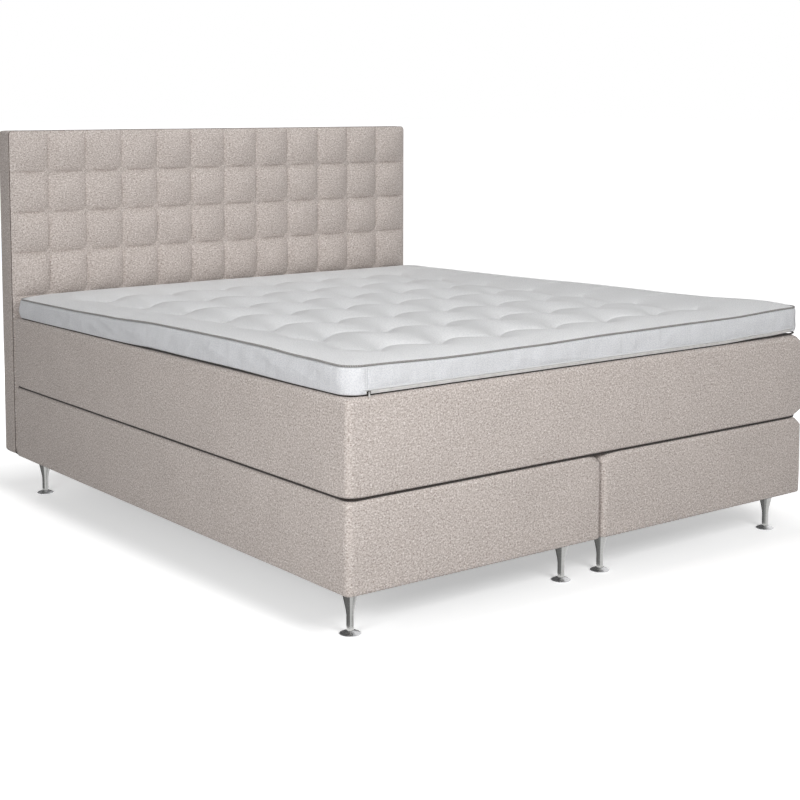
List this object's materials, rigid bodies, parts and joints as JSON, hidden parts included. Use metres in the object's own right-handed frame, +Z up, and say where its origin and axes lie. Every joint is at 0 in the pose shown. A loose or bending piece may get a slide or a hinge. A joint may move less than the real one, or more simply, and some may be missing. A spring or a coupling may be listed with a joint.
{
  "type": "box spring bed",
  "caption": "Double box spring bed: split upholstered bases on tapered steel legs, one mattress, a wave-quilted zipped topper and a square-tufted headboard.",
  "frame": {"origin": "floor level under the middle of the bed's overall box", "axes": "+X across the bed towards its right side seen from the foot end, +Y from the foot end towards the headboard, +Z up"},
  "size_m": [1.8, 2.137, 1.274],
  "materials": {
    "beige_cloth": "beige melange upholstery weave",
    "white_ticking": "white knitted mattress ticking, quilted on top",
    "grey_piping": "grey woven piping",
    "pale_foam": "polyether foam and wadding",
    "spring_pockets": "non-woven cloth round steel springs",
    "timber": "planed spruce",
    "chipboard": "raw chipboard and battens",
    "lining_cloth": "grey non-woven lining",
    "brushed_steel": "brushed stainless steel",
    "polished_chrome": "polished",
    "zinc_steel": "zinc plated steel",
    "black_plastic": "moulded spacer sleeve",
    "zip_nylon": "white nylon zip tape and pull",
    "slider_metal": "dark lacquered zip slider"
  },
  "bodies": {
    "bed_frame": {"left_base_cover": "beige_cloth", "left_base_foam": "pale_foam", "left_base_springs": "spring_pockets", "left_base_left_rail": "timber", "left_base_right_rail": "timber", "left_base_head_rail": "timber", "left_base_foot_rail": "timber", "left_base_slats": "timber", "left_base_dust_cover": "lining_cloth", "right_base_cover": "beige_cloth", "right_base_foam": "pale_foam", "right_base_springs": "spring_pockets", "right_base_left_rail": "timber", "right_base_right_rail": "timber", "right_base_head_rail": "timber", "right_base_foot_rail": "timber", "right_base_slats": "timber", "right_base_dust_cover": "lining_cloth", "left_foot_outer_leg": "brushed_steel", "left_foot_inner_leg": "brushed_steel", "left_head_outer_leg": "brushed_steel", "left_head_inner_leg": "brushed_steel", "right_foot_outer_leg": "brushed_steel", "right_foot_inner_leg": "brushed_steel", "right_head_outer_leg": "brushed_steel", "right_head_inner_leg": "brushed_steel", "left_foot_outer_foot_disc": "polished_chrome", "left_foot_inner_foot_disc": "polished_chrome", "left_head_outer_foot_disc": "polished_chrome", "left_head_inner_foot_disc": "polished_chrome", "right_foot_outer_foot_disc": "polished_chrome", "right_foot_inner_foot_disc": "polished_chrome", "right_head_outer_foot_disc": "polished_chrome", "right_head_inner_foot_disc": "polished_chrome", "foot_joining_plate": "zinc_steel", "head_joining_plate": "zinc_steel", "headboard_tufted_front": "beige_cloth", "headboard_welt": "beige_cloth", "headboard_side_band": "beige_cloth", "headboard_foam": "pale_foam", "headboard_board": "chipboard", "headboard_back_cloth": "lining_cloth", "left_headboard_bolt": "zinc_steel", "right_headboard_bolt": "zinc_steel", "left_headboard_spacer": "black_plastic", "right_headboard_spacer": "black_plastic"},
    "mattress": {"mattress_cover": "beige_cloth", "mattress_foam": "pale_foam", "mattress_springs": "spring_pockets", "mattress_underside": "lining_cloth"},
    "topper": {"topper_quilted_panel": "white_ticking", "topper_border": "white_ticking", "topper_piping": "grey_piping", "topper_core": "pale_foam", "topper_underside": "white_ticking", "topper_zip_tape": "zip_nylon", "topper_zip_flap": "white_ticking"},
    "slider": {"zip_slider": "slider_metal"},
    "pull": {"zip_pull": "zip_nylon"}
  },
  "joints": [
    {"name": "mattress_lift", "type": "slide", "parent": "bed_frame", "child": "mattress", "axis": [0, 0, 1], "range_m": [0, 0.92]},
    {"name": "topper_lift", "type": "slide", "parent": "mattress", "child": "topper", "axis": [0, 0, 1], "range_m": [0, 0.66]},
    {"name": "zip_slide", "type": "slide", "parent": "topper", "child": "slider", "axis": [1, 0, 0], "range_m": [0, 1.662]},
    {"name": "pull_swing", "type": "hinge", "parent": "slider", "child": "pull", "pos_m": [-0.831, -1.0661, 0.6471], "axis": [0, 1, 0], "range_deg": [-80, 80]}
  ]
}
